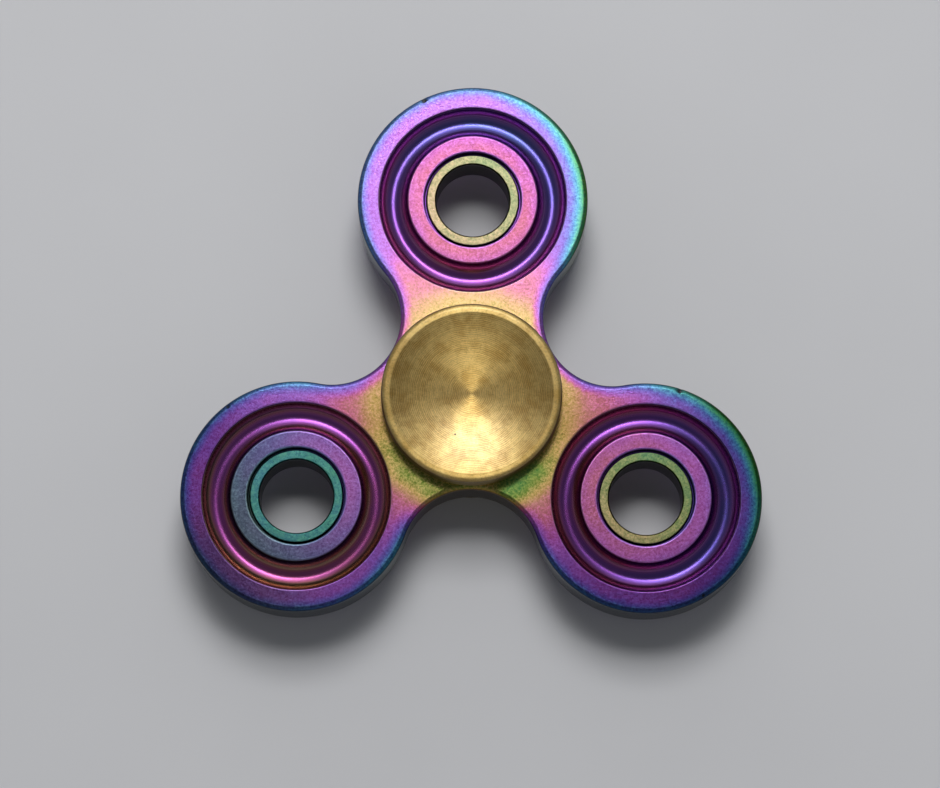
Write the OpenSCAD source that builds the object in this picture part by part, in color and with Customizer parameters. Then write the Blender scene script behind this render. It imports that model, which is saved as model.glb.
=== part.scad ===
// Three-lobe fidget spinner: a coated metal body with three weighted lobes, a deep-groove
// ball bearing at its centre, and two brass finger caps screwed together through the bearing.
// Origin: on the spin axis at mid-thickness. +Z runs along the spin axis to the upper cap,
// and +Y points along lobe 1.

/* [Body] */
// Distance from the spin axis to the centre of each lobe
lobe_pitch = 26.2; // [25.8:0.1:28]
// Outer radius of a lobe
lobe_r = 15.1; // [14.8:0.1:16]
// Distance from the spin axis to the waist between two lobes
waist_r = 12.15; // [12:0.05:12.8]
// Thickness of the body
body_t = 8; // [7.6:0.1:9]
// Radius of the rounded edges along the outline
edge_r = 0.6; // [0.4:0.1:1.2]

/* [Lobe weights] */
// Outer radius of a weight, where it meets the rim of its lobe
weight_r = 12.28; // [11.8:0.02:12.4]
// Outer radius of the raised ring inside the channel
ring_r = 8.55; // [8.2:0.05:8.8]
// Radius of the ring's mouth, around the sleeve
ring_mouth_r = 6.34; // [6.2:0.02:6.6]
// Depth of the ring's mouth
ring_mouth_depth = 1.3; // [0.9:0.1:1.8]
// Depth of the channel's straight walls
channel_wall = 0.5; // [0.3:0.1:0.8]
// Radius of the channel's hollow bottom
channel_bottom_r = 1.95; // [1.9:0.01:2.2]

/* [Lobe sleeves] */
// Outer radius of a sleeve
sleeve_r = 6; // [5.7:0.01:6.1]
// Radius of the through-hole
hole_r = 4.8; // [4.4:0.1:5]
// How far the sleeve ends stand below the faces of the body
sleeve_recess = 0.6; // [0.3:0.1:0.9]
// Width of the bevel at each mouth of the through-hole
hole_bevel = 0.2; // [0.1:0.1:0.4]

/* [Bearing] */
// Outer radius of the bearing (608 series)
bearing_r = 11; // [11:0.01:11]
// Bore radius of the bearing
bearing_bore_r = 4; // [4:0.01:4]
// Width of the bearing
bearing_w = 7; // [7:0.01:7]
// Number of balls
ball_count = 7; // [7:1:7]
// Ball diameter, 5/32 inch
ball_d = 3.969; // [3.969:0.001:3.969]
// Radius of the circle through the ball centres
ball_circle_r = 7.5; // [7.5:0.01:7.5]
// Outer radius of the inner race's shoulders
inner_land_r = 6.05; // [6:0.01:6.1]
// Inner radius of the outer race's shoulders
outer_land_r = 8.95; // [8.9:0.01:9]

/* [Finger caps] */
// Radius of a finger cap
cap_r = 11.75; // [11.6:0.05:12.6]
// Height of a cap's top above the face of the body
cap_rise = 3.5; // [3.2:0.1:4]
// Gap between a cap and the body
cap_gap = 0.3; // [0.2:0.1:0.5]
// Radius of the cap's rounded outer edge
cap_edge_r = 0.65; // [0.5:0.05:1.2]
// Radius of the hollow finger rest
dish_r = 10.6; // [9:0.1:10.8]
// Depth of the finger rest at its centre
dish_depth = 0.9; // [0.5:0.1:1.1]
// Outer radius of the thread that joins the caps
thread_r = 3; // [2.8:0.1:3.1]
// Pitch of the thread
thread_pitch = 0.75; // [0.6:0.05:1]

/* [Hidden] */
$fn = 96;
EPS = 0.01;

// Running and seating clearances
ball_play = 0.01;
seat_play = 0.01;
pocket_play = 0.045;

// Heights, counted from mid-thickness
face_z = body_t / 2;
stock_z = face_z + 0.02;
bearing_z = bearing_w / 2;
cap_top_z = face_z + cap_rise;
cap_base_z = face_z + cap_gap;
sleeve_z = face_z - sleeve_recess;

// Outline: each notch between two lobes is an arc that touches both lobes. It is drawn to
// just short of each touching point, where it stands 0.03 mm proud of the lobe, because
// surfaces that only touch make bad edges.
LOBE_ANGLES = [90, 210, 330];
notch_r = (pow(lobe_pitch, 2) + pow(waist_r, 2) - lobe_pitch * waist_r - pow(lobe_r, 2))
    / (2 * lobe_r - 2 * waist_r + lobe_pitch);
notch_pitch = waist_r + notch_r;
notch_step = 0.03;
notch_short = sqrt(2 * notch_step / (1 / lobe_r + 1 / notch_r));
notch_half = acos((notch_pitch - lobe_pitch / 2) / (lobe_r + notch_r))
    - notch_short / notch_r * 180 / PI;
notch_web = 2.5;
core_steps = 6;
core_share = 0.93;

// Edge breaks
bore_break = 0.12;
bearing_seat_break = 0.3;
ring_break = 0.1;
sleeve_break = 0.08;

// Channel of a weight
channel_mid_r = (ring_r + weight_r) / 2;
channel_half = (weight_r - ring_r) / 2;
channel_centre_drop = channel_wall - sqrt(pow(channel_bottom_r, 2) - pow(channel_half, 2));

// Races
ball_r = ball_d / 2;
groove_r = 0.52 * ball_d;
inner_groove_r = ball_circle_r - ball_r - ball_play + groove_r;
outer_groove_r = ball_circle_r + ball_r + ball_play - groove_r;
race_break = 0.3;

// Shields and the rings that hold them
shield_seat_r = 9.6;
shield_seat_z = 2.42;
shield_t = 0.3;
shield_bore_r = 6.35;
clip_groove_r = 9.9;
clip_groove_z = [2.75, 3.15];
clip_inner_r = 9.2;
clip_play = 0.03;
clip_gap_angle = 24;

// Cage: two pressed halves riveted together
cage_r = [6.9, 8.1];
cage_t = 0.32;
cage_split = 0.01;
pocket_r = ball_r + pocket_play;
pocket_wall = 0.27;
rivet_r = 0.3;
rivet_head_r = 0.52;
rivet_head_t = 0.18;

// Caps
shoulder_r = 5.95;
boss_r = bearing_bore_r - seat_play;
boss_end_z = 0.1;
cap_bevel = 0.3;
dish_ball_r = (pow(dish_r, 2) + pow(dish_depth, 2)) / (2 * dish_depth);
thread_depth = 0.4;
thread_play = 0.05;
thread_turns = 5;
stud_end_z = -4.5;
socket_end_z = -5.5;

BALLS = [for (i = [1 : ball_count]) str("bearing_ball_", i)];

// ---- shared shapes ----

module at_lobe(i) {
    rotate(LOBE_ANGLES[i]) translate([lobe_pitch, 0, 0]) children();
}

module at_each_end() {
    children();
    mirror([0, 0, 1]) children();
}

// A hole through a plate of height 2 * half, with both mouths bevelled by b
module bevelled_bore(r, half, b) {
    cylinder(r = r, h = 2 * half + 2, center = true);
    at_each_end() translate([0, 0, half - b])
        cylinder(r1 = r, r2 = r + b + EPS, h = b + EPS);
}

// ---- body ----

// The blanks stand a little above both faces, and spinner_body() cuts them all level
module lobe_blank() {
    rotate_extrude() {
        translate([0, -stock_z]) square([lobe_r - edge_r, 2 * stock_z]);
        translate([0, edge_r - stock_z]) square([lobe_r, 2 * (stock_z - edge_r)]);
        for (s = [-1, 1]) translate([lobe_r - edge_r, s * (stock_z - edge_r)]) circle(edge_r);
    }
}

module notch_blank() {
    rotate(180 - notch_half) rotate_extrude(angle = 2 * notch_half) {
        translate([notch_r + edge_r, -stock_z]) square([notch_web - edge_r, 2 * stock_z]);
        translate([notch_r, edge_r - stock_z]) square([notch_web, 2 * (stock_z - edge_r)]);
        for (s = [-1, 1]) translate([notch_r + edge_r, s * (stock_z - edge_r)]) circle(edge_r);
    }
}

// Points just behind the surface of one notch, from one lobe to the next
function notch_points(bisector) = [
    for (k = [0 : core_steps])
        let (a = bisector + 180 + core_share * notch_half * (1 - 2 * k / core_steps))
        notch_pitch * [cos(bisector), sin(bisector)]
            + (notch_r + 0.8 * notch_web) * [cos(a), sin(a)]
];

function core_points() = [
    for (a = LOBE_ANGLES)
        each concat([lobe_pitch * [cos(a), sin(a)]], notch_points(a + 60))
];

module core_blank() {
    translate([0, 0, -face_z - 1]) linear_extrude(body_t + 2) polygon(core_points());
}

module spinner_body() {
    color([0.72, 0.45, 0.72])
    difference() {
        intersection() {
            cylinder(r = lobe_pitch + lobe_r + 1, h = body_t, center = true);
            union() {
                for (i = [0 : 2]) at_lobe(i) lobe_blank();
                for (a = LOBE_ANGLES)
                    rotate(a + 60) translate([notch_pitch, 0, 0]) notch_blank();
                core_blank();
            }
        }
        bevelled_bore(bearing_r + seat_play, face_z, bearing_seat_break);
        for (i = [0 : 2]) at_lobe(i)
            bevelled_bore(weight_r + seat_play, face_z, bore_break);
    }
}

// ---- lobe weights and sleeves ----

// Solid half section of a weight before its channels are cut
module weight_blank_section() {
    half = face_z;
    shoulder = half - channel_wall;
    mouth = half - ring_mouth_depth;
    bore = sleeve_r + seat_play;
    upper = [
        [weight_r, shoulder], [ring_r, shoulder], [ring_r, half - ring_break],
        [ring_r - ring_break, half], [ring_mouth_r + ring_break, half],
        [ring_mouth_r, half - ring_break], [ring_mouth_r, mouth], [bore, mouth]
    ];
    lower = [for (k = [len(upper) - 1 : -1 : 0]) [upper[k][0], -upper[k][1]]];
    polygon(concat(upper, lower));
}

module lobe_weight() {
    rotate_extrude() difference() {
        weight_blank_section();
        for (s = [-1, 1])
            translate([channel_mid_r, s * (face_z - channel_centre_drop)])
                circle(channel_bottom_r);
    }
}

module lobe_sleeve() {
    upper = [
        [hole_r, sleeve_z - hole_bevel], [hole_r + hole_bevel, sleeve_z],
        [sleeve_r - sleeve_break, sleeve_z], [sleeve_r, sleeve_z - sleeve_break]
    ];
    lower = [for (k = [len(upper) - 1 : -1 : 0]) [upper[k][0], -upper[k][1]]];
    rotate_extrude() polygon(concat(upper, lower));
}

module lobe_weight_1() { color([0.86, 0.45, 0.66]) at_lobe(0) lobe_weight(); }
module lobe_weight_2() { color([0.62, 0.45, 0.58]) at_lobe(1) lobe_weight(); }
module lobe_weight_3() { color([0.80, 0.36, 0.58]) at_lobe(2) lobe_weight(); }
module lobe_sleeve_1() { color([0.84, 0.80, 0.58]) at_lobe(0) lobe_sleeve(); }
module lobe_sleeve_2() { color([0.36, 0.58, 0.56]) at_lobe(1) lobe_sleeve(); }
module lobe_sleeve_3() { color([0.66, 0.68, 0.48]) at_lobe(2) lobe_sleeve(); }

// ---- bearing ----

module bearing_outer_race() {
    b = race_break;
    half = bearing_z;
    upper = [
        [bearing_r, half - b], [bearing_r - b, half], [shield_seat_r, half],
        [shield_seat_r, clip_groove_z[1]], [clip_groove_r, clip_groove_z[1]],
        [clip_groove_r, clip_groove_z[0]], [shield_seat_r, clip_groove_z[0]],
        [shield_seat_r, shield_seat_z - clip_play], [outer_land_r, shield_seat_z - clip_play]
    ];
    lower = [for (k = [len(upper) - 1 : -1 : 0]) [upper[k][0], -upper[k][1]]];
    color([0.62, 0.63, 0.65]) rotate_extrude() difference() {
        polygon(concat(upper, lower));
        translate([outer_groove_r, 0]) circle(groove_r);
    }
}

module bearing_inner_race() {
    b = race_break;
    half = bearing_z;
    upper = [
        [inner_land_r, half - b / 2], [inner_land_r - b / 2, half],
        [bearing_bore_r + b, half], [bearing_bore_r, half - b]
    ];
    lower = [for (k = [len(upper) - 1 : -1 : 0]) [upper[k][0], -upper[k][1]]];
    color([0.62, 0.63, 0.65]) rotate_extrude() difference() {
        polygon(concat(upper, lower));
        translate([inner_groove_r, 0]) circle(groove_r);
    }
}

module at_ball(i) {
    rotate(i * 360 / ball_count) translate([ball_circle_r, 0, 0]) children();
}

module bearing_ball(i) {
    color([0.80, 0.81, 0.83]) at_ball(i) sphere(ball_r);
}

// Upper half of the cage: a flat ribbon that arches over each ball
module cage_half() {
    difference() {
        intersection() {
            union() {
                translate([0, 0, cage_split]) cylinder(r = cage_r[1] + 1, h = cage_t);
                for (i = [0 : ball_count - 1]) at_ball(i) sphere(pocket_r + pocket_wall);
            }
            translate([0, 0, cage_split]) difference() {
                cylinder(r = cage_r[1], h = 3);
                translate([0, 0, -1]) cylinder(r = cage_r[0], h = 5);
            }
        }
        for (i = [0 : ball_count - 1]) {
            at_ball(i) sphere(pocket_r);
            at_ball(i + 0.5) cylinder(r = rivet_r + seat_play, h = 2, center = true);
        }
    }
}

module bearing_cage_upper() { color([0.55, 0.54, 0.52]) cage_half(); }
module bearing_cage_lower() { color([0.55, 0.54, 0.52]) mirror([0, 0, 1]) cage_half(); }

module cage_rivets() {
    grip = cage_split + cage_t + seat_play;
    color([0.48, 0.47, 0.45]) for (i = [0 : ball_count - 1]) at_ball(i + 0.5) {
        cylinder(r = rivet_r, h = 2 * grip + EPS, center = true);
        at_each_end() translate([0, 0, grip]) cylinder(r = rivet_head_r, h = rivet_head_t);
    }
}

module bearing_shield() {
    translate([0, 0, shield_seat_z]) difference() {
        cylinder(r = shield_seat_r - clip_play, h = shield_t);
        translate([0, 0, -1]) cylinder(r = shield_bore_r, h = 3);
    }
}

// Open ring that springs into the groove above a shield
module shield_ring() {
    low = clip_groove_z[0] + clip_play;
    high = clip_groove_z[1] - clip_play;
    rotate(clip_gap_angle / 2) rotate_extrude(angle = 360 - clip_gap_angle)
        translate([clip_inner_r, low])
            square([clip_groove_r - clip_play - clip_inner_r, high - low]);
}

module bearing_shield_upper() { color([0.74, 0.74, 0.75]) bearing_shield(); }
module bearing_shield_lower() { color([0.74, 0.74, 0.75]) mirror([0, 0, 1]) bearing_shield(); }
module shield_ring_upper() { color([0.66, 0.66, 0.67]) shield_ring(); }
module shield_ring_lower() { color([0.66, 0.66, 0.67]) mirror([0, 0, 1]) shield_ring(); }

// ---- finger caps ----

// Half section of a cap's disc, shoulder and boss, standing above mid-thickness
module cap_section() {
    difference() {
        union() {
            translate([0, cap_base_z + cap_bevel])
                square([cap_r, cap_top_z - cap_edge_r - cap_base_z - cap_bevel]);
            translate([0, cap_top_z - 2 * cap_edge_r])
                square([cap_r - cap_edge_r, 2 * cap_edge_r]);
            translate([cap_r - cap_edge_r, cap_top_z - cap_edge_r]) circle(cap_edge_r);
            polygon([
                [0, boss_end_z], [boss_r - cap_bevel, boss_end_z],
                [boss_r, boss_end_z + cap_bevel], [boss_r, bearing_z],
                [shoulder_r, bearing_z], [shoulder_r, cap_base_z],
                [cap_r - cap_bevel, cap_base_z], [cap_r, cap_base_z + cap_bevel],
                [0, cap_base_z + cap_bevel]
            ]);
        }
        translate([0, cap_top_z - dish_depth + dish_ball_r]) circle(dish_ball_r, $fn = 720);
    }
}

// Threaded stud below the boss; the thread is shown as rings
module cap_stud() {
    root_r = thread_r - thread_depth;
    top = boss_end_z + 0.4;
    thread_top = boss_end_z - 0.4;
    rotate_extrude() polygon(concat(
        [[0, top], [root_r, top]],
        [for (k = [0 : thread_turns - 1], p = [0.1, 0.45, 0.55, 0.9])
            [p > 0.4 && p < 0.6 ? thread_r : root_r, thread_top - (k + p) * thread_pitch]],
        [[root_r, stud_end_z + root_r / 4], [root_r * 3 / 4, stud_end_z], [0, stud_end_z]]));
}

module finger_cap_upper() {
    color([0.80, 0.70, 0.42]) union() {
        rotate_extrude() cap_section();
        cap_stud();
    }
}

module finger_cap_lower() {
    socket_r = thread_r + thread_play;
    color([0.80, 0.70, 0.42]) difference() {
        mirror([0, 0, 1]) rotate_extrude() cap_section();
        translate([0, 0, socket_end_z]) cylinder(r = socket_r, h = -socket_end_z + 1);
    }
}

spinner_body();
lobe_weight_1();
lobe_weight_2();
lobe_weight_3();
lobe_sleeve_1();
lobe_sleeve_2();
lobe_sleeve_3();
bearing_outer_race();
bearing_inner_race();
for (i = [0 : ball_count - 1]) bearing_ball(i);
bearing_cage_upper();
bearing_cage_lower();
cage_rivets();
bearing_shield_upper();
bearing_shield_lower();
shield_ring_upper();
shield_ring_lower();
finger_cap_upper();
finger_cap_lower();
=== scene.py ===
import math

import bmesh
import bpy
from mathutils import Matrix, Vector
from mathutils.geometry import delaunay_2d_cdt


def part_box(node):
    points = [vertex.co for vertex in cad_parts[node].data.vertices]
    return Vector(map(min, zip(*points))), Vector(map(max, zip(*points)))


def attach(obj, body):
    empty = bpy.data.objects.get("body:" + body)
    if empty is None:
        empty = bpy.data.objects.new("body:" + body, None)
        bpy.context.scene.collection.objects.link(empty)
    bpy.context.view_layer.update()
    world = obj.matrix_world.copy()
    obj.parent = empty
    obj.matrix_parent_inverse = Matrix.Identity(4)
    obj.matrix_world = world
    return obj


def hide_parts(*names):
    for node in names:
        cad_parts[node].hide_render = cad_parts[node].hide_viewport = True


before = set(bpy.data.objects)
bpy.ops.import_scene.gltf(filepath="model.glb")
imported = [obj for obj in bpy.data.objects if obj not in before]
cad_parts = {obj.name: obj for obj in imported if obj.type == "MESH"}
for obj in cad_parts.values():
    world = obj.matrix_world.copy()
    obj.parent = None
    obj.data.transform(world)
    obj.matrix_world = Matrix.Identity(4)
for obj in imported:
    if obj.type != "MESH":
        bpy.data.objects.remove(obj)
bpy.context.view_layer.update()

MM = 0.001


def box_mm(node):
    """Lowest and highest corner of a CAD node, in millimetres, to a hundredth."""
    return [[round(c / MM, 2) for c in corner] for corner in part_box(node)]


# ---- sizes read from the frame ----
FACE_Z = box_mm("spinner_body")[1][2]
WEIGHT_LOW, WEIGHT_HIGH = box_mm("lobe_weight_1")
LOBE_PITCH = (WEIGHT_LOW[1] + WEIGHT_HIGH[1]) / 2
WEIGHT_R = (WEIGHT_HIGH[1] - WEIGHT_LOW[1]) / 2
LOBE_R = box_mm("spinner_body")[1][1] - LOBE_PITCH
SLEEVE_R = box_mm("lobe_sleeve_1")[1][0]
SLEEVE_Z = box_mm("lobe_sleeve_1")[1][2]
BEARING_R, _, BEARING_Z = box_mm("bearing_outer_race")[1]
CAP_R, _, CAP_TOP = box_mm("finger_cap_upper")[1]
STUD_END = box_mm("finger_cap_upper")[0][2]
BOSS_END = -box_mm("finger_cap_lower")[1][2]

# ---- sizes that the frame's boxes don't give ----
WAIST_R = 12.15
EDGE_R = 0.6
RING_R = 8.55
RING_ROUND = 0.2
MOUTH_R = 6.34
MOUTH_DEPTH = 1.3
CHANNEL_WALL = 0.5
CHANNEL_BOTTOM_R = 1.95
CHANNEL_R = (RING_R + WEIGHT_R) / 2
RING_MIDDLE = CHANNEL_R - 3
HOLE_R = 4.8
HOLE_ROUND = 0.2
SLEEVE_ROUND = 0.08
BORE_ROUND = 0.16
SEAT_ROUND = 0.05
SEAT_PLAY = 0.01
CAP_GAP = 0.3
CAP_EDGE_R = 0.65
DISH_R = 10.6
DISH_DEPTH = 0.9
DISH_LIP = 0.3
MARK_PITCH = 0.23
MARK_DEPTH = 0.002
MARK_STEPS = 4
SHOULDER_R = 5.95
BOSS_R = 3.99
THREAD_R = 3.0
THREAD_DEPTH = 0.4
THREAD_PITCH = 0.75
THREAD_RUNOUT = 0.4
STUD_CHAMFER = 0.6
SOCKET_R = 3.05
SOCKET_END = -5.5

# Chips in the body's upper edge: the lobe, counted from 0, the angle round it, and the size.
CHIPS = [(0, 116, 0.42), (2, 72.5, 0.45), (1, 128, 0.3), (2, 300, 0.3)]
CHIP_Z = FACE_Z - 1.2
CHIP_INSET = 0.35
CHIP_DEPTH = 0.22

# Spacing of the body's points along its outline, round its bores and over its faces, how far the
# points inside a face stay off its borders, and the height of a triangle with sides of 1. Then the
# width of the strip beside a rounded edge, which keeps the shading of the flat beyond it flat, on
# the body and on turned pieces.
OUTLINE_STEP = 0.22
BORE_STEP = 0.35
FACE_STEP = 0.7
FACE_MARGIN = 0.45
TRIANGLE_HEIGHT = math.sqrt(0.75)
SUPPORT = 0.06
TURNED_SUPPORT = 0.05

LOBE_ANGLES = [90, 210, 330]
NOTCH_R = (LOBE_PITCH**2 + WAIST_R**2 - LOBE_PITCH * WAIST_R - LOBE_R**2) / (
    2 * LOBE_R - 2 * WAIST_R + LOBE_PITCH
)
NOTCH_PITCH = WAIST_R + NOTCH_R


def polar(radius, degrees):
    turn = math.radians(degrees)
    return Vector((radius * math.cos(turn), radius * math.sin(turn)))


LOBE_CENTRES = [polar(LOBE_PITCH, a) for a in LOBE_ANGLES]
FIRST_NOTCH = polar(NOTCH_PITCH, 60)
LOBE_HALF = math.degrees(math.atan2(FIRST_NOTCH.y, FIRST_NOTCH.x - LOBE_PITCH))
NOTCH_HALF = LOBE_HALF - 60
CHIP_PLACES = [
    (LOBE_CENTRES[lobe] + polar(LOBE_R - CHIP_INSET, turn), size) for lobe, turn, size in CHIPS
]


# ---- mesh building ----

def mesh_object(name, points, faces, coat=None):
    """A smooth object from points in millimetres. coat gives the three numbers that its coating
    reads at a point."""
    mesh = bpy.data.meshes.new(name)
    mesh.from_pydata([[c * MM for c in p] for p in points], [], faces)
    if coat:
        layer = mesh.attributes.new("coat", "FLOAT_VECTOR", "POINT")
        layer.data.foreach_set("vector", [c for p in points for c in coat(Vector(p))])
    shape = bmesh.new()
    shape.from_mesh(mesh)
    bmesh.ops.recalc_face_normals(shape, faces=shape.faces)
    shape.to_mesh(mesh)
    shape.free()
    mesh.shade_smooth()
    obj = bpy.data.objects.new(name, mesh)
    bpy.context.scene.collection.objects.link(obj)
    return obj


def rounded_path(corners, steps=5):
    """An open path of (r, z) points through corners given as (r, z, fillet radius), with an extra
    point beside each fillet, so that the straight stretches shade flat."""
    path = []
    for i, (r, z, fillet) in enumerate(corners):
        here = Vector((r, z))
        if fillet <= 0:
            path.append(here)
            continue
        before = (Vector(corners[i - 1][:2]) - here).normalized()
        after = (Vector(corners[i + 1][:2]) - here).normalized()
        half = before.angle(after) / 2
        reach = fillet / math.tan(half)
        centre = here + (before + after).normalized() * (fillet / math.sin(half))
        start = here + before * reach
        stop = here + after * reach
        path.append(start + before * TURNED_SUPPORT)
        first = start - centre
        turn = first.angle_signed(stop - centre)
        for k in range(steps + 1):
            path.append(centre + Matrix.Rotation(-turn * k / steps, 2) @ first)
        path.append(stop + after * TURNED_SUPPORT)
    return path


def spin(name, path, centre, segments, closed, coat=None):
    """Turns a path of (r, z) points about a vertical axis through centre. A point on the axis
    stays one point."""
    points, rows = [], []
    for r, z in path:
        if r < 1e-6:
            rows.append([len(points)] * segments)
            points.append((centre[0], centre[1], z))
            continue
        rows.append(list(range(len(points), len(points) + segments)))
        for k in range(segments):
            a = 2 * math.pi * k / segments
            points.append((centre[0] + r * math.cos(a), centre[1] + r * math.sin(a), z))
    faces = []
    pairs = list(zip(rows, rows[1:]))
    if closed:
        pairs.append((rows[-1], rows[0]))
    for low, high in pairs:
        for k in range(segments):
            n = (k + 1) % segments
            corners = [low[k], low[n], high[n], high[k]]
            corners = [c for i, c in enumerate(corners) if c not in corners[:i]]
            if len(corners) > 2:
                faces.append(corners)
    return mesh_object(name, points, faces, coat)


def arc(centre, radius, start, stop, steps):
    """Points of an arc in the (r, z) plane, from one angle to another in degrees."""
    return [
        Vector(centre) + polar(radius, start + (stop - start) * k / steps)
        for k in range(steps + 1)
    ]


def outline(inset):
    """The body's outline, moved inwards by inset: lobe arcs joined by notch arcs that touch
    them."""
    lobe_steps = round(math.radians(2 * LOBE_HALF) * LOBE_R / OUTLINE_STEP)
    notch_steps = round(math.radians(2 * NOTCH_HALF) * NOTCH_R / OUTLINE_STEP)
    points = []
    for a, centre in zip(LOBE_ANGLES, LOBE_CENTRES):
        for k in range(lobe_steps):
            turn = a - LOBE_HALF + 2 * LOBE_HALF * k / lobe_steps
            points.append(centre + polar(LOBE_R - inset, turn))
        for k in range(notch_steps):
            turn = a + 240 + NOTCH_HALF - 2 * NOTCH_HALF * k / notch_steps
            points.append(polar(NOTCH_PITCH, a + 60) + polar(NOTCH_R + inset, turn))
    return points


# ---- coating: at each point a film, a light and a wear value. The film is how far along the
# rainbow the colour is: 0 is gold, about 0.2 pink, 0.4 violet, 0.6 blue, 0.75 teal and 0.85 green.
# The light is painted light: painted shade on the lower lobes and in recesses, and painted
# highlights on edges. The wear lets grey metal through ----

# Painted highlights on the bore and ring edges, and painted shade in the ring's mouth and round
# the sleeves.
BORE_EDGE_HIGHLIGHT = 2.3
RING_EDGE_HIGHLIGHT = 1.6
MOUTH_SHADE = 0.55
SLEEVE_SHADE = 0.15


def smooth_step(x, low, high):
    t = min(1.0, max(0.0, (x - low) / (high - low)))
    return t * t * (3 - 2 * t)


def outline_distance(point):
    """How far a point lies inside the body's outline: from a notch's arc, or else from a
    lobe's."""
    a = min(LOBE_ANGLES, key=lambda a: (point - polar(NOTCH_PITCH, a + 60)).length)
    from_notch = point - polar(NOTCH_PITCH, a + 60)
    if from_notch.angle(polar(1, a + 240), 0) < math.radians(NOTCH_HALF):
        return from_notch.length - NOTCH_R
    return max(LOBE_R - (point - c).length for c in LOBE_CENTRES)


def chip_share(point):
    """1 in the middle of the nearest chip, 0 at its edge and below 0 outside it."""
    return max(1 - (point - place).length / size for place, size in CHIP_PLACES)


def painted_light_falloff(point):
    """Painted light, before the painted shade in recesses and the painted highlights on edges. The
    two lower lobes are painted darker than the upper one, most of all on their far sides and low
    down, and more so on the right, and the top of the upper lobe is painted a little darker."""
    if point.y > 12:
        return 1 - 0.12 * smooth_step(point.y, 12, 24)
    far = smooth_step(abs(point.x), 22, 36)
    below = smooth_step(-point.y, 15, 25) * (0.12 + 0.25 * smooth_step(point.x, 0, 20))
    return (1 - 0.36 * smooth_step(-point.y, -10, 6)) * (1 - 0.32 * far) * (1 - below)


def body_coat(p):
    """Gold by the cap, then pink, violet on the lobes, and blue to green along the outer edges."""
    point = Vector((p[0], p[1]))
    reach = point.length
    lobe = min(range(3), key=lambda i: (point - LOBE_CENTRES[i]).length)
    offset = point - LOBE_CENTRES[lobe]
    away = offset.normalized()

    # How far out on a lobe the point is, and how far to the lower side of the cap.
    outer = smooth_step(reach, 14.5, 21)
    low = smooth_step(-point.y, 2, 11)

    # The greener side of a lobe faces right and up, more so on the lower lobes.
    green_side = polar(1, 25 - 18 * smooth_step(point.y, 12, 22))
    facing = max(0.0, away.dot(green_side))

    gold = 0.015 - 0.065 * low
    pink = (0.14 + 0.05 * low) * smooth_step(reach, 12.3 + 0.9 * low, 15.9 + low)
    film = gold + pink
    film += 0.22 * smooth_step(reach, 16, 25) + 0.12 * facing**2 * outer

    # A green patch by the cap, at its lower right.
    green_patch = smooth_step(point.normalized().dot(polar(1, 301)), 0.95, 0.99)
    film -= 0.05 * green_patch * (1 - smooth_step(reach, 14.5, 17))

    # The film shifts along the outer edge, but not between the two lower lobes.
    edge = 1 - smooth_step(outline_distance(point), 0.3, 1.6 + 0.9 * facing)
    edge *= outer + (1 - outer) * (1 - low)
    film += (0.22 + 0.13 * facing + 0.1 * (1 - outer) * smooth_step(point.x, 4, 9)) * edge

    # Lobe 2 shows wear at its lower left, and chips are bare.
    wear = 0.45 * smooth_step(away.dot(polar(1, 235)), 0.55, 1) * outer if lobe == 1 else 0.0
    if p[2] > CHIP_Z:
        wear = max(wear, smooth_step(chip_share(point), 0.1, 0.4))

    # Painted light: the lobes' falloff, a little brighter low down by the cap, and a painted
    # highlight on each weight bore's rounded edge and wall.
    light = painted_light_falloff(point) + 0.14 * low * (1 - smooth_step(reach, 15, 20))
    if offset.length < WEIGHT_R + BORE_ROUND:
        light *= BORE_EDGE_HIGHLIGHT
    return film, light, wear


def leaning(base, lean, direction):
    """A value round a lobe's centre: base, plus lean on the side that faces the direction."""
    return lambda offset: base + lean * offset.normalized().dot(polar(1, direction))


# For each lobe: the films of the ring and of the channel round it, what the channel's steep walls
# add to its film, the wear of the ring, and the painted light of the ring and of the channel,
# which sets how bright each lobe looks. Then the sleeve's film, wear and painted light.
LOBE_COATS = [
    {
        "ring": leaning(0.19, 0.02, 70),
        "channel": leaning(0.45, 0.10, 70),
        "wall": -0.16,
        "ring_wear": leaning(0.0, 0.0, 0),
        "ring_light": 0.86,
        "channel_light": 0.7,
        "sleeve": leaning(0.97, -0.03, 30),
        "sleeve_wear": 0.5,
        "sleeve_light": 1.1,
    },
    {
        "ring": leaning(0.44, 0.14, 200),
        "channel": leaning(0.28, 0.05, 110),
        "wall": -0.21,
        "ring_wear": leaning(0.5, 0.3, 210),
        "ring_light": 1.2,
        "channel_light": 0.95,
        "sleeve": leaning(0.745, 0.01, 0),
        "sleeve_wear": 0.15,
        "sleeve_light": 1.05,
    },
    {
        "ring": leaning(0.24, 0.06, -5),
        "channel": leaning(0.42, 0.08, -10),
        "wall": -0.21,
        "ring_wear": leaning(0.05, 0.0, 0),
        "ring_light": 1.12,
        "channel_light": 0.85,
        "sleeve": leaning(0.93, -0.04, 60),
        "sleeve_wear": 0.35,
        "sleeve_light": 1.45,
    },
]


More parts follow.
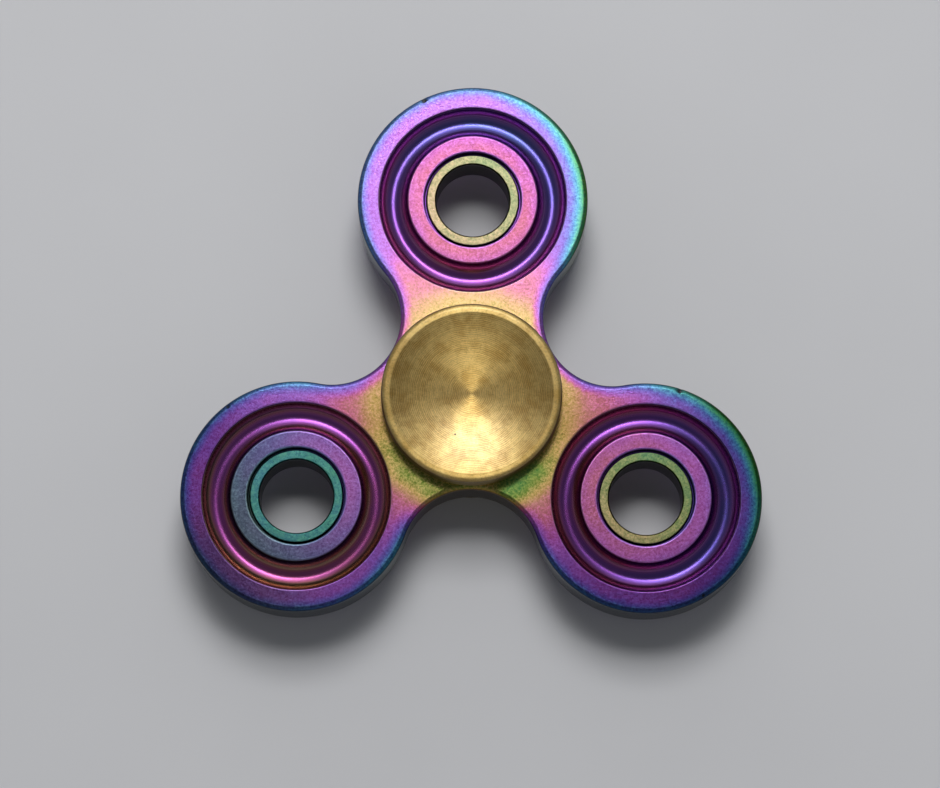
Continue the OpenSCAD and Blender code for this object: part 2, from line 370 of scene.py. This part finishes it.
def weight_coat(lobe):
    """The ring and the channel round it have films of their own. The ring's mouth gets painted
    shade, its edges painted highlights, and turning has left streaks in the channel."""
    look = LOBE_COATS[lobe]

    def coat(p):
        offset = Vector((p[0], p[1])) - LOBE_CENTRES[lobe]
        r = offset.length

        # share is 0 on the ring and 1 in the channel, and steep grows up the channel's walls.
        share = smooth_step(r, RING_R - 0.05, RING_R + 0.9)
        steep = share * smooth_step(abs(r - CHANNEL_R), 0.42, 1.3)

        film = look["ring"](offset) + 0.06 * smooth_step(r, 7.0, RING_R)
        film = (1 - share) * film + share * look["channel"](offset)
        film += 0.2 * smooth_step(-r, -MOUTH_R - 0.4, -MOUTH_R)
        film += look["wall"] * steep

        streak = math.sin(41 * r) * math.sin(17 * r + 1)
        # Painted light: each lobe's own brightness for the ring and the channel, with the
        # channel's walls painted brighter.
        light = painted_light_falloff(LOBE_CENTRES[lobe]) * (1 + (0.08 + 0.25 * steep) * share * streak)
        channel_light = look["channel_light"] * (1 + 0.65 * steep)
        light *= share * channel_light + (1 - share) * look["ring_light"]
        beside_edge = min(abs(r - MOUTH_R), abs(r - RING_R)) < RING_ROUND + 0.01
        # Painted shade in the ring's mouth, and a painted highlight on the ring's rounded edges.
        if r < MOUTH_R + 0.05 and abs(p[2]) < FACE_Z - RING_ROUND + 0.02:
            light *= MOUTH_SHADE
        elif beside_edge and abs(p[2]) > FACE_Z - RING_ROUND:
            light *= RING_EDGE_HIGHLIGHT
        return film, light, look["ring_wear"](offset) * (1 - share) + 0.35 * steep
    return coat


def sleeve_coat(lobe):
    """A film that leans a little, with painted light. The hole and the gap round the sleeve get
    painted shade.
    """
    look = LOBE_COATS[lobe]

    def coat(p):
        offset = Vector((p[0], p[1])) - LOBE_CENTRES[lobe]
        # Painted light for the lobe, and painted shade in the hole, on its rounded mouth and on
        # the sleeve's sides below its faces.
        light = look["sleeve_light"] * painted_light_falloff(LOBE_CENTRES[lobe])
        if offset.length < HOLE_R + HOLE_ROUND - 0.03 or abs(p[2]) < SLEEVE_Z - 0.12:
            light = SLEEVE_SHADE
        return look["sleeve"](offset), light, look["sleeve_wear"]
    return coat


# ---- body ----

def dented(point, inset, z):
    """A point of the body's outer side, pushed in where a chip is."""
    push = smooth_step(chip_share(point), 0, 0.8) if z > FACE_Z - EDGE_R else 0.0
    lobe = min(LOBE_CENTRES, key=lambda c: (point - c).length)
    moved = point + (lobe - point).normalized() * CHIP_DEPTH * push
    return (moved.x, moved.y, z - CHIP_DEPTH / 2 * push * (1 if inset < EDGE_R else 0))


def ring_stack(points, faces, rings):
    """Adds closed rings of (x, y, z) points joined by quads, and gives back their numbers."""
    rows = []
    for ring in rings:
        rows.append(list(range(len(points), len(points) + len(ring))))
        points.extend(ring)
    count = len(rings[0])
    for low, high in zip(rows, rows[1:]):
        for k in range(count):
            n = (k + 1) % count
            faces.append((low[k], low[n], high[n], high[k]))
    return rows


def flat_face(points, faces, boundaries, inset, z):
    """Fills the flat face between an outer boundary, which lies inset from the outline, and its
    holes. The boundaries are lists of point numbers."""
    loops = [[Vector(points[i][:2]) for i in b] for b in boundaries]
    numbers = [i for b in boundaries for i in b]
    coords = [p for loop in loops for p in loop]
    edges, start = [], 0
    for loop in loops:
        count = len(loop)
        edges += [(start + k, start + (k + 1) % count) for k in range(count)]
        start += count
    holes = [(Vector((0, 0)), loops[1][0].length)]
    holes += [(c, (loops[2 + i][0] - c).length) for i, c in enumerate(LOBE_CENTRES)]

    def in_face(p, gap):
        outside_holes = all((p - c).length > r + gap for c, r in holes)
        return outside_holes and outline_distance(p) > inset + gap

    # Inner points, on a grid of equal triangles.
    half_width = LOBE_PITCH + LOBE_R
    rows = round(2 * half_width / (FACE_STEP * TRIANGLE_HEIGHT))
    columns = round(2 * half_width / FACE_STEP)
    for row in range(rows):
        for column in range(columns):
            p = Vector((column + row % 2 / 2, row * TRIANGLE_HEIGHT)) * FACE_STEP
            p -= Vector((1, 1)) * half_width
            if in_face(p, FACE_MARGIN):
                coords.append(p)
                numbers.append(len(points))
                points.append((p.x, p.y, z))
    flat, _, triangles, origins, _, _ = delaunay_2d_cdt(coords, edges, [], 1, 1e-6)
    for triangle in triangles:
        if in_face(sum((flat[i] for i in triangle), Vector((0, 0))) / 3, 0):
            faces.append([numbers[origins[i][0]] for i in triangle])


def outer_side():
    """Section of the body's outer side from below to above, as (inset, z): a rounded edge, the
    upright wall and a rounded edge."""
    side = [(EDGE_R + SUPPORT, -FACE_Z)]
    side += [(EDGE_R - p[0], p[1]) for p in arc((0, EDGE_R - FACE_Z), EDGE_R, 270, 360, 8)]
    side += [(0, z) for z in (-1.5, 0, 1.5)]
    side += [(EDGE_R - p[0], p[1]) for p in arc((0, FACE_Z - EDGE_R), EDGE_R, 0, 90, 8)]
    return side + [(EDGE_R + SUPPORT, FACE_Z)]


def bore_wall(radius, fillet):
    """Section of a bore through the body from above to below, as (r, z)."""
    wide = radius + fillet
    wall = [(wide + SUPPORT, FACE_Z)]
    wall += arc((wide, FACE_Z - fillet), fillet, 90, 180, 5)
    wall += [(radius, z) for z in (FACE_Z - CHANNEL_WALL, 0, CHANNEL_WALL - FACE_Z)]
    wall += arc((wide, fillet - FACE_Z), fillet, 180, 270, 5)
    return wall + [(wide + SUPPORT, -FACE_Z)]


def build_body():
    """The three-lobed body: a rounded outline, and bores for the bearing and the weights."""
    points, faces = [], []
    rings = [[dented(p, inset, z) for p in outline(inset)] for inset, z in outer_side()]
    rows = ring_stack(points, faces, rings)
    low_loops, high_loops = [rows[0]], [rows[-1]]
    bores = [(Vector((0, 0)), BEARING_R + SEAT_PLAY, SEAT_ROUND)]
    bores += [(c, WEIGHT_R + SEAT_PLAY, BORE_ROUND) for c in LOBE_CENTRES]
    for centre, radius, fillet in bores:
        count = round(2 * math.pi * radius / BORE_STEP)
        circle = [polar(radius, 360 * k / count) for k in range(count)]
        rings = [
            [(centre.x + p.x * r / radius, centre.y + p.y * r / radius, z) for p in circle]
            for r, z in bore_wall(radius, fillet)
        ]
        rows = ring_stack(points, faces, rings)
        high_loops.append(rows[0])
        low_loops.append(rows[-1])
    flat_face(points, faces, high_loops, EDGE_R + SUPPORT, FACE_Z)
    flat_face(points, faces, low_loops, EDGE_R + SUPPORT, -FACE_Z)
    return mesh_object("body_shell", points, faces, body_coat)


# ---- weights and sleeves ----

def weight_path():
    """Closed section of a lobe weight: a hollow channel at each end, around a raised ring."""
    half = (WEIGHT_R - RING_R) / 2
    shoulder = FACE_Z - CHANNEL_WALL
    mouth_floor = FACE_Z - MOUTH_DEPTH
    sink = math.sqrt(CHANNEL_BOTTOM_R**2 - half**2)
    tilt = math.degrees(math.asin(sink / CHANNEL_BOTTOM_R))
    channel = arc((CHANNEL_R, shoulder + sink), CHANNEL_BOTTOM_R, -tilt, tilt - 180, 36)
    ring = rounded_path([
        (RING_R, shoulder, 0), (RING_R, FACE_Z, RING_ROUND), (RING_R - 0.4, FACE_Z, 0),
        (RING_MIDDLE, FACE_Z, 0), (MOUTH_R + 0.4, FACE_Z, 0), (MOUTH_R, FACE_Z, RING_ROUND),
        (MOUTH_R, mouth_floor, 0.1), (SLEEVE_R + SEAT_PLAY, mouth_floor, 0),
    ])
    upper = channel + ring[1:]
    return upper + [Vector((p.x, -p.y)) for p in reversed(upper)]


def sleeve_path():
    """Closed section of a sleeve: a plain tube with rounded mouths."""
    corners = [
        (HOLE_R, 0, 0), (HOLE_R, SLEEVE_Z, HOLE_ROUND), (SLEEVE_R, SLEEVE_Z, SLEEVE_ROUND),
        (SLEEVE_R, 0, 0),
    ]
    upper = rounded_path(corners, steps=8)
    return upper + [Vector((p.x, -p.y)) for p in reversed(upper[1:-1])]


# ---- caps ----

def dish_path():
    """The finger rest, from the axis to its edge, with the fine rings left by turning."""
    ball = (DISH_R**2 + DISH_DEPTH**2) / (2 * DISH_DEPTH)
    path = []
    count = round(DISH_R / MARK_PITCH * MARK_STEPS)
    for k in range(count - 1):
        r = DISH_R * k / count
        mark = MARK_DEPTH * math.sin(2 * math.pi * r / MARK_PITCH)
        mark *= 0.7 + 0.3 * math.sin(r * 2.1)  # some rings are deeper than others
        height = CAP_TOP - DISH_DEPTH + ball - math.sqrt(ball**2 - r**2)
        path.append(Vector((r, height + mark)))
    return path


def cap_outside():
    """From the edge of the finger rest, round the rim and under the cap, to the boss's foot."""
    base = FACE_Z + CAP_GAP
    corners = [
        (DISH_R - DISH_LIP, CAP_TOP - 0.05, 0), (DISH_R, CAP_TOP, 0.12),
        (CAP_R, CAP_TOP, CAP_EDGE_R), (CAP_R, base, 0.25), (SHOULDER_R, base, 0.2),
        (SHOULDER_R, BEARING_Z, 0.1), (BOSS_R, BEARING_Z, 0.1), (BOSS_R, BOSS_END, 0.3),
        (THREAD_R, BOSS_END, 0),
    ]
    return rounded_path(corners, steps=8)[1:]


def stud_path():
    """The threaded stud under the upper cap's boss, down to the axis."""
    root = THREAD_R - THREAD_DEPTH
    turns = int((BOSS_END - STUD_END - 2 * THREAD_RUNOUT) / THREAD_PITCH)
    path = [(root, BOSS_END)]
    for k in range(turns):
        top = BOSS_END - THREAD_RUNOUT - k * THREAD_PITCH
        for share, r in ((0.1, root), (0.45, THREAD_R), (0.55, THREAD_R), (0.9, root)):
            path.append((r, top - share * THREAD_PITCH))
    path += [(root, STUD_END + STUD_CHAMFER), (root - STUD_CHAMFER, STUD_END), (0, STUD_END)]
    return [Vector(p) for p in path]


def upper_cap_path():
    return dish_path() + cap_outside() + stud_path()


def lower_cap_path():
    """The upper cap's twin, upside down, with a blind socket in place of the stud."""
    socket_floor = -SOCKET_END
    socket = [(SOCKET_R, BOSS_END), (SOCKET_R, socket_floor), (0, socket_floor)]
    path = dish_path() + cap_outside()[:-1] + [Vector(p) for p in socket]
    return [Vector((p.x, -p.y)) for p in path]


# ---- materials ----

def linear(red, green, blue):
    """A colour as a screen shows it, turned into the linear numbers that shaders take."""
    shown = (red, green, blue)
    return [c / 12.92 if c <= 0.04045 else ((c + 0.055) / 1.055) ** 2.4 for c in shown] + [1]


class Graph:
    """The nodes of one material, or of the world. An input may be a number, a colour or another
    node's output."""

    def __init__(self, owner, shader="Principled BSDF"):
        owner.use_nodes = True
        self.owner = owner
        self.tree = owner.node_tree
        self.surface = self.tree.nodes[shader]

    def put(self, socket, value):
        if isinstance(value, bpy.types.NodeSocket):
            self.tree.links.new(value, socket)
        else:
            socket.default_value = value

    def add(self, kind, inputs=None, **settings):
        node = self.tree.nodes.new("ShaderNode" + kind)
        for label, value in settings.items():
            setattr(node, label, value)
        for label, value in (inputs or {}).items():
            self.put(node.inputs[label], value)
        return node

    def math(self, operation, *values):
        node = self.add("Math", operation=operation)
        for socket, value in zip(node.inputs, values):
            self.put(socket, value)
        return node.outputs[0]

    def vector_math(self, operation, inputs, output=0):
        return self.add("VectorMath", inputs, operation=operation).outputs[output]

    def split(self, vector):
        """The three parts of a vector."""
        return self.add("SeparateXYZ", {"Vector": vector}).outputs

    def place_mm(self):
        """Position in millimetres, in the piece's own axes."""
        place = self.add("TexCoord").outputs["Object"]
        return self.vector_math("SCALE", {"Vector": place, "Scale": 1 / MM})

    def level(self):
        """1 where the surface is level, and 0 where it is upright."""
        return self.math("ABSOLUTE", self.split(self.add("TexCoord").outputs["Normal"])["Z"])

    def noise(self, per_mm, detail=2.0, roughness=0.5):
        inputs = {"Vector": self.place_mm(), "Scale": per_mm}
        inputs |= {"Detail": detail, "Roughness": roughness}
        return self.add("TexNoise", inputs).outputs["Fac"]

    def swing(self, value, amount):
        """A 0 to 1 value, as a swing of that much about nothing."""
        return self.math("MULTIPLY", self.math("SUBTRACT", value, 0.5), 2 * amount)

    def between(self, value, low, high, start=0.0, stop=1.0):
        """A value that runs from start to stop as the given one runs from low to high."""
        inputs = {"Value": value, "From Min": low, "From Max": high}
        inputs |= {"To Min": start, "To Max": stop}
        return self.add("MapRange", inputs).outputs[0]

    def mix(self, share, one, other):
        node = self.add("Mix", data_type="RGBA")
        for index, value in ((0, share), (6, one), (7, other)):
            self.put(node.inputs[index], value)
        return node.outputs[2]

    def ramp(self, value, stops):
        node = self.add("ValToRGB", {"Fac": value})
        marks = node.color_ramp.elements
        while len(marks) < len(stops):
            marks.new(0.5)
        for mark, (where, _) in zip(marks, stops):
            mark.position = where
        for mark, (_, colour) in zip(marks, stops):
            mark.color = linear(*colour)
        return node.outputs["Color"]

    def bump(self, height, distance_mm, strength):
        inputs = {"Height": height, "Distance": distance_mm * MM, "Strength": strength}
        return self.add("Bump", inputs).outputs["Normal"]

    def finish(self, **inputs):
        """Sets the shader's inputs, and gives back the material or the world."""
        for label, value in inputs.items():
            self.put(self.surface.inputs[label.replace("_", " ")], value)
        return self.owner


def material_graph(name):
    return Graph(bpy.data.materials.new(name))


RAINBOW = [
    (0.00, (0.95, 0.82, 0.54)), (0.08, (0.94, 0.73, 0.60)), (0.17, (0.94, 0.59, 0.71)),
    (0.28, (0.88, 0.54, 0.87)), (0.40, (0.76, 0.55, 0.93)), (0.51, (0.62, 0.57, 0.92)),
    (0.60, (0.54, 0.68, 0.92)), (0.68, (0.50, 0.78, 0.90)), (0.76, (0.50, 0.82, 0.75)),
    (0.84, (0.43, 0.74, 0.49)), (0.92, (0.66, 0.75, 0.40)), (1.00, (0.95, 0.82, 0.54)),
]
WORN_METAL = linear(0.50, 0.52, 0.54)
GRAIN_PER_MM = 3.4
CLOUDS_PER_MM = 0.25
PITS_PER_MM = 2.6
SMEARS_PER_MM = 6.0
SATIN = 0.32


def rainbow_coat(name, slope_shift, flat=0.95, steep=0.30, wall_light=0.3):
    """Iridescent coating over satin metal. Its colour follows the coat attribute, the slope of
    the surface and fine grain, and the coat's painted light scales it. Painted shade darkens
    slopes from flat to steep, down to wall_light. What lies below the face is polished, and what
    the painted light leaves dark is deeper in colour too."""
    g = material_graph(name)
    film, light, wear = g.split(g.add("Attribute", attribute_name="coat").outputs["Vector"])
    level = g.level()
    height = g.math("ABSOLUTE", g.split(g.place_mm())["Z"])
    face = g.between(height, FACE_Z - 1.1, FACE_Z - 0.65)
    grain = g.math("SUBTRACT", g.noise(GRAIN_PER_MM, 3.0, 0.75), 0.5)
    grain = g.math("MULTIPLY", grain, g.between(face, 0, 1, 0.03, 1))
    grain = g.math("ADD", grain, 0.5)

    phase = g.math("ADD", film, g.between(level, 0, 1, slope_shift, 0.0))
    phase = g.math("ADD", phase, g.swing(grain, 0.10))
    phase = g.math("ADD", phase, g.swing(g.noise(CLOUDS_PER_MM), 0.06))
    colour = g.ramp(g.math("FRACT", g.math("ADD", phase, 1.0)), RAINBOW)
    colour = g.mix(wear, colour, WORN_METAL)

    contrast = g.between(light, 0.5, 1.0, 1.9, 1.15)
    mottle = g.math("ADD", g.math("MULTIPLY", g.math("SUBTRACT", grain, 0.5), contrast), 0.92)
    pits = g.between(g.noise(PITS_PER_MM, 1.0), 0.19, 0.27, 0.8, 1.0)
    # Painted shade on slopes, then the painted light from the coat attribute scales the colour and
    # deepens it where dark.
    light = g.math("MULTIPLY", light, g.between(level, steep, flat, wall_light, 1.0))
    light = g.math("MULTIPLY", light, mottle)
    light = g.math("MULTIPLY", light, pits)
    depth = g.between(light, 0.2, 0.9, 1.65, 1.0)
    deep = g.add("Gamma", {"Color": colour, "Gamma": depth}).outputs[0]
    colour = g.vector_math("SCALE", {"Vector": deep, "Scale": light})

    satin = g.between(g.noise(SMEARS_PER_MM), 0.3, 0.7, SATIN - 0.05, SATIN + 0.08)
    polished = g.between(face, 0, 1, SATIN - 0.08, 0.0)
    rough = g.math("ADD", g.math("MULTIPLY", satin, face), polished)
    normal = g.bump(grain, 0.026, 0.7)
    return g.finish(Metallic=1.0, Base_Color=colour, Roughness=rough, Normal=normal)


BRIGHT_BRASS = linear(0.98, 0.84, 0.52)
TARNISHED_BRASS = linear(0.86, 0.70, 0.38)
DULL_BRASS = linear(0.60, 0.47, 0.24)
DARK_BRASS = linear(0.48, 0.37, 0.18)
GRIT_BRASS = linear(0.42, 0.33, 0.17)
PIT_BRASS = linear(0.15, 0.11, 0.06)
PIT_PLACE = (-2.1, -5.4, 0)


def turned_brass():
    """Brass off the lathe: its rings about the axis stretch highlights along the radius. It has
    tarnish, grit and one small pit, and grime in the rings of the finger rest. Its slopes and the
    outer part of the finger rest get painted shade."""
    g = material_graph("turned_brass")
    flat = g.vector_math("MULTIPLY", {0: g.place_mm(), 1: (1, 1, 0)})
    reach = g.vector_math("LENGTH", {0: flat}, "Value")
    level = g.level()
    dish = g.between(reach, DISH_R - 0.05, DISH_R + 0.1, 1.0, 0.0)
    wander = g.math("MULTIPLY", g.noise(0.9), 9.0)
    turns = g.math("ADD", g.math("MULTIPLY", reach, 2 * math.pi / MARK_PITCH), wander)
    marks = g.math("SINE", turns)
    band_inputs = {"W": reach, "Scale": 5.0, "Detail": 2.0}
    bands = g.add("TexNoise", band_inputs, noise_dimensions="1D").outputs["Fac"]
    tarnish = g.noise(0.5, 4.0, 0.65)
    grit = g.noise(5.0, 3.0, 0.7)
    pit = g.vector_math("DISTANCE", {0: flat, 1: PIT_PLACE}, "Value")

    colour = g.mix(g.between(tarnish, 0.40, 0.65), BRIGHT_BRASS, TARNISHED_BRASS)
    dull = g.math("MULTIPLY", dish, g.between(bands, 0.35, 0.65, 0.05, 0.3))
    colour = g.mix(dull, colour, DULL_BRASS)
    grime = g.between(tarnish, 0.42, 0.62, 0.3, 0.62)
    grooves = g.math("MULTIPLY", grime, g.between(marks, -0.6, 1, 0.0, 1.0))
    colour = g.mix(g.math("MULTIPLY", dish, grooves), colour, DARK_BRASS)
    colour = g.mix(g.between(grit, 0.50, 0.72, 0.0, 0.45), colour, GRIT_BRASS)
    colour = g.mix(g.between(pit, 0.10, 0.18, 0.9, 0.0), colour, PIT_BRASS)

    # Painted shade: slopes are darker, and so is the outer part of the finger rest.
    slopes = g.between(level, 0.50, 0.985, 0.22, 1.0)
    outer_dish_shade = g.between(reach, DISH_R - 4.0, DISH_R - 1.4, 1.0, 0.86)
    off_dish = g.between(dish, 0, 1, 1.0, 0.0)
    dim = g.math("MULTIPLY", slopes, g.math("MAXIMUM", outer_dish_shade, off_dish))
    colour = g.vector_math("SCALE", {"Vector": colour, "Scale": dim})

    rough = g.between(tarnish, 0.3, 0.7, 0.29, 0.34)
    rough = g.math("ADD", rough, g.between(dish, 0, 1, 0.10, 0))
    height = g.math("ADD", g.math("MULTIPLY", bands, 0.8), g.math("MULTIPLY", grit, 0.3))
    tangent = g.add("Tangent", direction_type="RADIAL", axis="Z").outputs[0]
    return g.finish(
        Metallic=1.0, Anisotropic=0.76, Anisotropic_Rotation=0.25,
        Coat_Weight=0.22, Coat_Roughness=0.16, Coat_IOR=2.2,
        Base_Color=colour, Roughness=rough, Normal=g.bump(height, 0.006, 0.6), Tangent=tangent,
    )


def steel(name, tone, rough):
    """Plain steel with a faint mottle; the bearing's hidden pieces use it."""
    g = material_graph(name)
    mottle = g.noise(3.0, 3.0)
    dark = [c * 0.86 for c in tone]
    colour = g.mix(mottle, linear(*dark), linear(*tone))
    roughness = g.between(mottle, 0.3, 0.7, rough * 0.85, rough * 1.2)
    normal = g.bump(mottle, 0.004, 0.3)
    return g.finish(Metallic=1.0, Base_Color=colour, Roughness=roughness, Normal=normal)


# ---- pieces ----

TURNED_SEGMENTS = 192
SLEEVE_SEGMENTS = 144


def finish_piece(obj, material, body, node):
    obj.data.materials.append(material)
    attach(obj, body)
    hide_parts(node)


def build_weight(lobe):
    name, slot = f"weight_{lobe + 1}", f"iridescent_weight_{lobe + 1}"
    coat = weight_coat(lobe)
    weight = spin(name, weight_path(), LOBE_CENTRES[lobe], TURNED_SEGMENTS, True, coat)
    coating = rainbow_coat(slot, 0.0, wall_light=0.4)
    finish_piece(weight, coating, "rotor", "lobe_" + name)


def build_sleeve(lobe):
    name, slot = f"sleeve_{lobe + 1}", f"iridescent_sleeve_{lobe + 1}"
    coat = sleeve_coat(lobe)
    sleeve = spin(name, sleeve_path(), LOBE_CENTRES[lobe], SLEEVE_SEGMENTS, True, coat)
    finish_piece(sleeve, rainbow_coat(slot, 0.0), "rotor", "lobe_" + name)


def build_rotor():
    coating = rainbow_coat("iridescent_body", 0.08, flat=0.97, steep=0.45, wall_light=0.12)
    finish_piece(build_body(), coating, "rotor", "spinner_body")
    for lobe in range(len(LOBE_CENTRES)):
        build_weight(lobe)
        build_sleeve(lobe)


def build_caps():
    brass = turned_brass()
    for name, path in (("upper", upper_cap_path()), ("lower", lower_cap_path())):
        cap = spin(f"cap_{name}", path, (0, 0), TURNED_SEGMENTS, False)
        finish_piece(cap, brass, "finger_grip", f"finger_cap_{name}")


def finish_bearing():
    """The bearing's own nodes stay, and take steel."""
    kinds = {
        "race": steel("bearing_steel", (0.72, 0.73, 0.75), 0.25),
        "ball": steel("ball_steel", (0.85, 0.86, 0.88), 0.08),
        "cage": steel("cage_steel", (0.62, 0.60, 0.57), 0.35),
        "shield": steel("shield_steel", (0.78, 0.78, 0.79), 0.30),
    }
    for node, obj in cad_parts.items():
        for word, material in kinds.items():
            if word in node:
                for slot in obj.material_slots:
                    slot.material = material


# ---- stage ----

FLOOR_HALF = 3000
LENS = 172.3
CAMERA_LEAN = 9.15
CAMERA_ROLL = 0.32
CAMERA_PLACE = (-0.21, 0.36, 585.6)


def build_floor():
    """A plain pale floor that meets the lower cap."""
    g = material_graph("pale_floor")
    tone = g.noise(0.02, 3.0)
    colour = g.mix(tone, linear(0.80, 0.80, 0.81), linear(0.84, 0.84, 0.85))
    material = g.finish(Base_Color=colour, Roughness=g.between(tone, 0.3, 0.7, 0.65, 0.75))
    signs = [(-1, -1), (1, -1), (1, 1), (-1, 1)]
    corners = [(x * FLOOR_HALF, y * FLOOR_HALF, -CAP_TOP) for x, y in signs]
    floor = mesh_object("floor", corners, [(0, 1, 2, 3)])
    floor.data.materials.append(material)


def build_camera():
    """Almost overhead, leaning back 9 degrees, with a long lens."""
    camera = bpy.data.cameras.new("camera")
    camera.sensor_width = 36
    camera.lens = LENS
    camera.clip_start, camera.clip_end = 0.01, 10
    obj = bpy.data.objects.new("camera", camera)
    lean = Matrix.Rotation(math.radians(CAMERA_LEAN), 3, "X")
    turn = lean @ Matrix.Rotation(math.radians(CAMERA_ROLL), 3, "Z")
    place = turn @ Vector(CAMERA_PLACE) + Vector((0, 0, FACE_Z))
    obj.matrix_world = Matrix.Translation(place * MM) @ turn.to_4x4()
    bpy.context.scene.collection.objects.link(obj)
    bpy.context.scene.camera = obj


def area_light(name, place, aim, size, radiance, on_metal=True):
    """A soft rectangular light, in millimetres. Off the metal, it lights only what is dull."""
    light = bpy.data.lights.new(name, "AREA")
    light.shape = "RECTANGLE"
    light.size, light.size_y = size[0] * MM, size[1] * MM
    light.energy = radiance * math.pi * light.size * light.size_y
    obj = bpy.data.objects.new(name, light)
    turn = (Vector(aim) - Vector(place)).to_track_quat("-Z", "Y").to_matrix().to_4x4()
    obj.matrix_world = Matrix.Translation(Vector(place) * MM) @ turn
    obj.visible_glossy = on_metal
    bpy.context.scene.collection.objects.link(obj)


def studio_room():
    """A dim room, brighter towards the horizon than overhead."""
    g = Graph(bpy.data.worlds.new("studio"), "Background")
    height = g.math("ABSOLUTE", g.split(g.add("TexCoord").outputs["Generated"])["Z"])
    glow = g.math("POWER", g.math("SUBTRACT", 1.0, height), 1.5)
    return g.finish(Color=(0.92, 0.96, 1, 1), Strength=g.math("MULTIPLY_ADD", glow, 0.3, 0.1))


def build_lights():
    scene = bpy.context.scene
    scene.view_settings.view_transform = "Standard"
    scene.world = studio_room()
    area_light("key", (0, 235, 490), (0, 20, 0), (150, 240), 1.8)
    area_light("spot", (0, 178, 500), (0, 20, 0), (96, 60), 9.5)
    area_light("sky", (0, 420, 600), (0, 60, 0), (500, 560), 0.45)
    area_light("back", (0, 600, 230), (0, 0, 0), (400, 200), 1.0)
    area_light("wash", (0, 430, 850), (0, 0, 0), (420, 420), 8.0, on_metal=False)


build_camera()
build_lights()
build_floor()
build_rotor()
build_caps()
finish_bearing()

bpy.context.view_layer.update()
